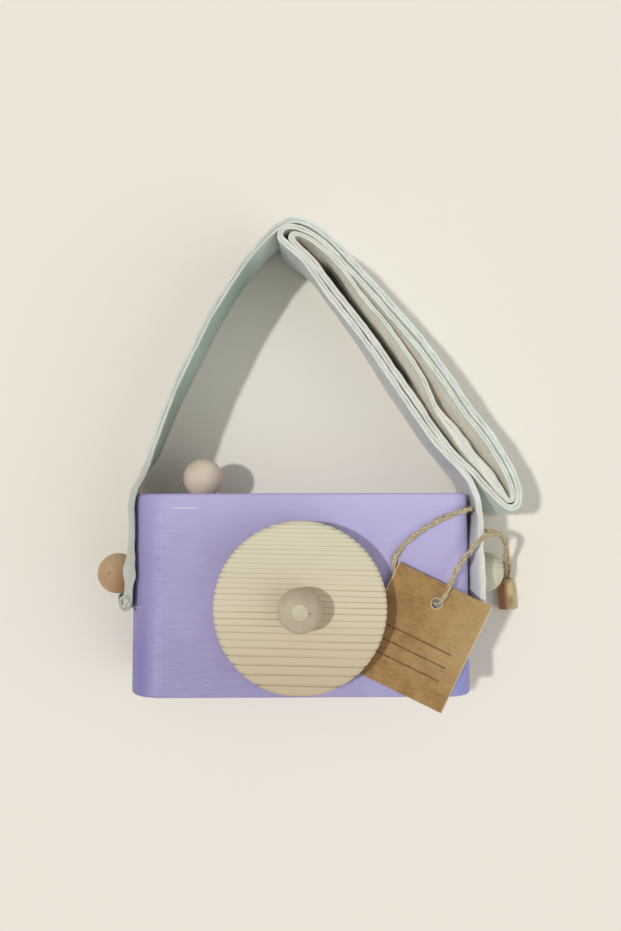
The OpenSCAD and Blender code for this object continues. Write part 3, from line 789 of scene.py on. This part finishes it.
# Kraft card with plain ruled lines, measured from the middle of its hole
TAG_AT = (47.6 * MM, -3.0 * MM, 42.85 * MM)
TAG_TURN = (math.radians(2.9), 0.0, math.radians(-26.0))
RULE_AT, RULE_GAP, RULE_W = -14.0, 5.0, 0.56
RULES_TOP, RULES_LOW, RULES_HALF = -10.0, -27.0, 12.5
card = Shader("kraft_card", 0.8, 0.2)
flat = card.add(
    "Mapping", {"vector_type": "TEXTURE"}, Vector=card.place(), Location=TAG_AT, Rotation=TAG_TURN,
).outputs[0]
x, y, _ = card.split(flat)
fibres = card.noise(card.stretch(flat, (500, 2200, 900)), 1.0, 4.0, 0.65)
cloud = card.noise(flat, 160.0, 3.0)
speck = card.noise(flat, 1500.0, 2.0)
tone = card.ramp(cloud, (0.3, srgb(134, 98, 56)), (0.7, srgb(162, 129, 82)))
# painted light: paler towards the right, above the card's lower part
painted_light = card.math("MULTIPLY", card.fade(x, -5.263, 21.053, 0.7), card.fade(y, -30.0, -14.0))
tone = card.mix(painted_light, tone, srgb(186, 162, 115))
tone = card.mix(card.grey(fibres, (0.38, 0.0), (0.68, 0.6)), tone, srgb(178, 147, 101))
tone = card.mix(card.grey(speck, (0.56, 0.0), (0.74, 0.42)), tone, srgb(118, 88, 54))
# painted shadow of the lens disc along the card's left edge, below its upper corner
disc_shadow = card.math("MULTIPLY", card.fade(x, -7.857, -15.0, 0.5), card.fade(y, -1.0, -5.0))
tone = card.mix(disc_shadow, tone, srgb(112, 80, 42))
aside = card.math("ABSOLUTE", x)
rule = card.math("PINGPONG", card.math("SUBTRACT", y, RULE_AT * MM), RULE_GAP / 2 * MM)
rule = card.math("LESS_THAN", rule, RULE_W / 2 * MM)
for keep in (
    card.math("LESS_THAN", y, RULES_TOP * MM),
    card.math("GREATER_THAN", y, RULES_LOW * MM),
    card.math("LESS_THAN", aside, RULES_HALF * MM),
):
    rule = card.math("MULTIPLY", rule, keep)
ink = card.math("MULTIPLY", rule, card.grey(fibres, (0.35, 0.8), (0.75, 0.45)))
tone = card.mix(ink, tone, srgb(66, 52, 38))
# pale where the card is punched and cut; along the side edges the pale band is partly the paler cut fibre
# and partly a painted highlight
reach = card.math("MULTIPLY", card.radius(x, y), 1 / (10 * MM))
punched = card.grey(reach, (0.165, 0.75), (0.205, 0.6), (0.225, 0.0))
pale = card.math("MAXIMUM", punched, card.fade(aside, 17.55, 17.8))
card.colour(card.mix(pale, tone, srgb(204, 184, 146)))
card.bump(fibres, 0.2, 0.0001)
card.cover(node["tag_card"])


# Jute
jute = Shader("jute_twine", 0.88, 0.15, **{"Sheen Weight": 0.1})
strands = jute.noise(jute.place(), 2400.0, 3.0, 0.6)
jute.colour(jute.ramp(
    strands, (0.28, srgb(122, 102, 70)), (0.48, srgb(182, 164, 126)), (0.7, srgb(222, 211, 182)),
))
jute.bump(strands, 0.5, 0.0002)
jute.cover(twine, twine_fibres)


# Moulded lock with painted shade, darker and redder on its left side, and eased edges
LOCK_SHADE_X, LOCK_EASE = 81.9, 0.6
plastic = Shader("brown_lock", 0.5, 0.35)
xyz = plastic.place()
x, _, _ = plastic.split(xyz)
grain = plastic.noise(plastic.stretch(xyz, (900, 90, 900)), 1.0, 3.0)
tone = plastic.ramp(grain, (0.3, srgb(180, 152, 108)), (0.7, srgb(200, 178, 131)))
lock_shade = plastic.math("MULTIPLY_ADD", grain, 0.6, plastic.math("MULTIPLY_ADD", x, 1 / MM, -LOCK_SHADE_X))
lock_shade = plastic.grey(lock_shade, (0.1, 0.85), (0.55, 0.0))
plastic.colour(plastic.mix(lock_shade, tone, srgb(170, 118, 78)))
plastic.bump(grain, 0.15, 0.0002)
plastic.cover(node["lock_barrel"], node["lock_pin"])
bevel = node["lock_barrel"].modifiers.new("ease", "BEVEL")
bevel.width = LOCK_EASE * MM
bevel.segments = 3
bevel.limit_method = "ANGLE"
bevel.angle_limit = math.radians(40)


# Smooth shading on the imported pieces
for name in node:
    for polygon in node[name].data.polygons:
        polygon.use_smooth = True


# Floor and light
bpy.ops.mesh.primitive_plane_add(size=4.0, location=(0, 0, -0.0001))
floor = bpy.context.object
floor.name = "floor"
ground = Shader("pale_floor", 0.9, 0.1)
speck = ground.noise(ground.place(), 6.0, 2.0)
ground.colour(ground.ramp(speck, (0.3, srgb(231, 225, 213)), (0.7, srgb(233, 227, 215))))
ground.cover(floor)

KEY_SHARE, FILL_SHARE, ROOM_SHARE = 0.44, 0.16, 0.44


def sun_lamp(name, share, angle, turn):
    """A sun that gives the floor this share of the light."""
    lamp = bpy.data.lights.new(name, "SUN")
    lamp.energy = math.pi * share / (math.cos(math.radians(turn[0])) * math.cos(math.radians(turn[1])))
    lamp.angle = math.radians(angle)
    obj = bpy.data.objects.new(name, lamp)
    obj.rotation_euler = [math.radians(v) for v in turn]
    bpy.context.scene.collection.objects.link(obj)


sun_lamp("key", KEY_SHARE, 3.0, (-1.0, -25.8, 0.0))
sun_lamp("fill", FILL_SHARE, 60.0, (16.0, 50.0, 0.0))
world = bpy.data.worlds.new("room")
world.use_nodes = True
backdrop = world.node_tree.nodes["Background"]
backdrop.inputs[0].default_value = (1.0, 0.995, 0.985, 1.0)
backdrop.inputs[1].default_value = ROOM_SHARE
bpy.context.scene.world = world
bpy.context.scene.view_settings.view_transform = "Standard"
